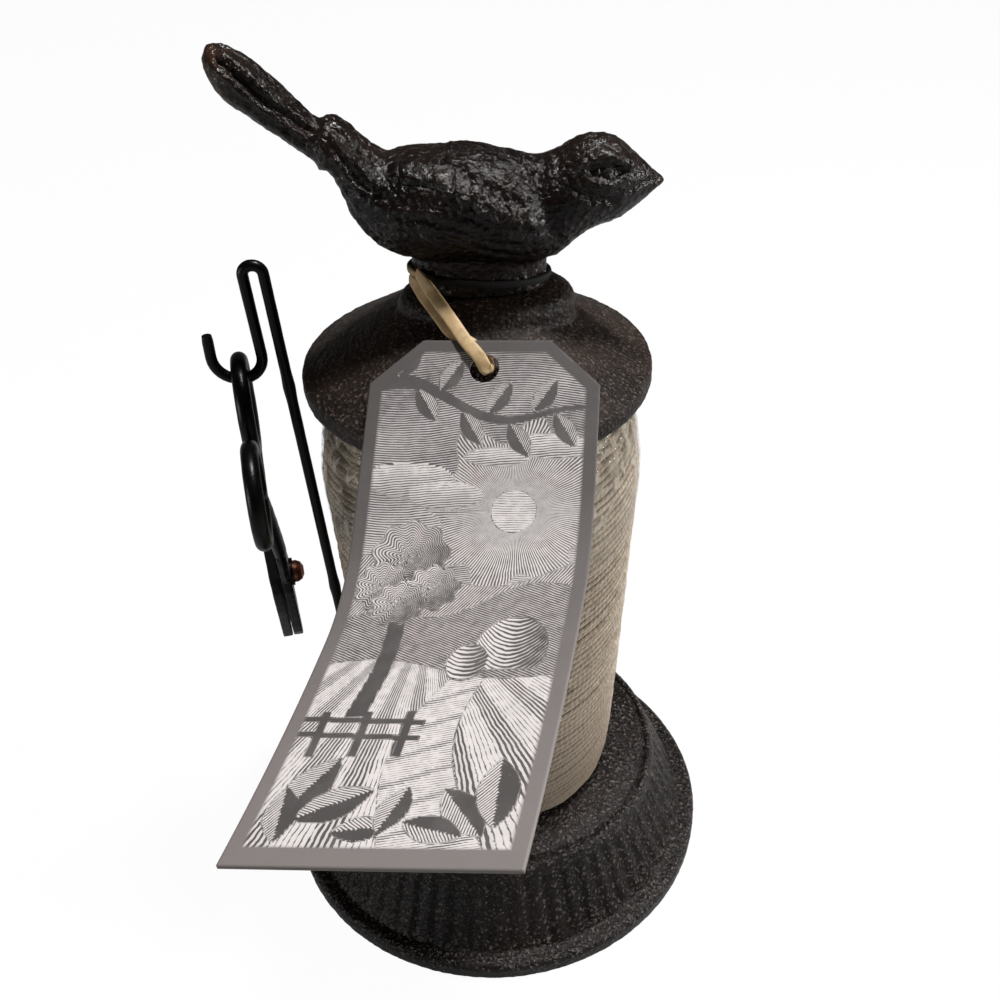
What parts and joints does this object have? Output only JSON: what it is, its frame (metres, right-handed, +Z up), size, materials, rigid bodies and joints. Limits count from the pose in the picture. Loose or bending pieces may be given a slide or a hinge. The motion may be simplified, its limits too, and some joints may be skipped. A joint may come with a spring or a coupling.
{
  "type": "string holder",
  "caption": "Cast string holder: fluted base with a spindle for a twine spool, a lid topped by a bird, a wire hook with hanging scissors and a paper hang tag.",
  "frame": {"origin": "on the axis of the spindle, in the plane that the base stands on", "axes": "+Z up along the spindle, +X towards the bird's beak, -Y towards the side that the tag hangs on"},
  "size_m": [0.1224, 0.1908, 0.2231],
  "materials": {
    "casting": "rough cast, satin dark brown",
    "steel": "plain",
    "black_paint": "semi-gloss",
    "copper_screw": "dulled copper",
    "core_card": "plain",
    "twine": "undyed twist",
    "film": "clear shrink film",
    "tag_card": "printed card",
    "band": "tan"
  },
  "bodies": {
    "base": {"base_casting": "casting", "spindle_rod": "steel", "spindle_washer": "steel", "spindle_nuts": "steel", "lid_stop_nut": "steel", "scissor_hook": "black_paint", "hook_nuts": "steel", "hook_washers": "steel"},
    "spool": {"spool_core": "core_card", "twine_body": "twine", "twine_winding": "twine", "shoulder_film": "film"},
    "top": {"lid_casting": "casting", "bird_casting": "casting", "bird_screws": "steel", "bird_screw_washers": "steel", "tag_band": "band"},
    "tag": {"tag_card": "tag_card"},
    "scissors_hung": {"scissor_half_hung": "black_paint", "scissor_pivot_screw": "copper_screw", "scissor_pivot_washer": "black_paint"},
    "scissors_free": {"scissor_half_free": "black_paint"}
  },
  "joints": [
    {"name": "spool_turn", "type": "hinge", "parent": "base", "child": "spool", "pos_m": [0, 0, 0.0883], "axis": [0, 0, 1], "continuous": true},
    {"name": "lid_lift", "type": "slide", "parent": "base", "child": "top", "axis": [0, 0, 1], "range_m": [0, 0.03]},
    {"name": "tag_swivel", "type": "hinge", "parent": "top", "child": "tag", "pos_m": [0.00147, -0.02629, 0.16549], "axis": [-0.1475, -0.565, 0.8118], "range_deg": [-18, 18]},
    {"name": "scissors_swing", "type": "hinge", "parent": "base", "child": "scissors_hung", "pos_m": [-0.05507, 0.006, 0.1475], "axis": [1, 0, 0], "range_deg": [-35, 35]},
    {"name": "scissors_open", "type": "hinge", "parent": "scissors_hung", "child": "scissors_free", "pos_m": [-0.05636, 0.01297, 0.08222], "axis": [0.9833, 0.1822, 0], "range_deg": [0, 45]}
  ]
}
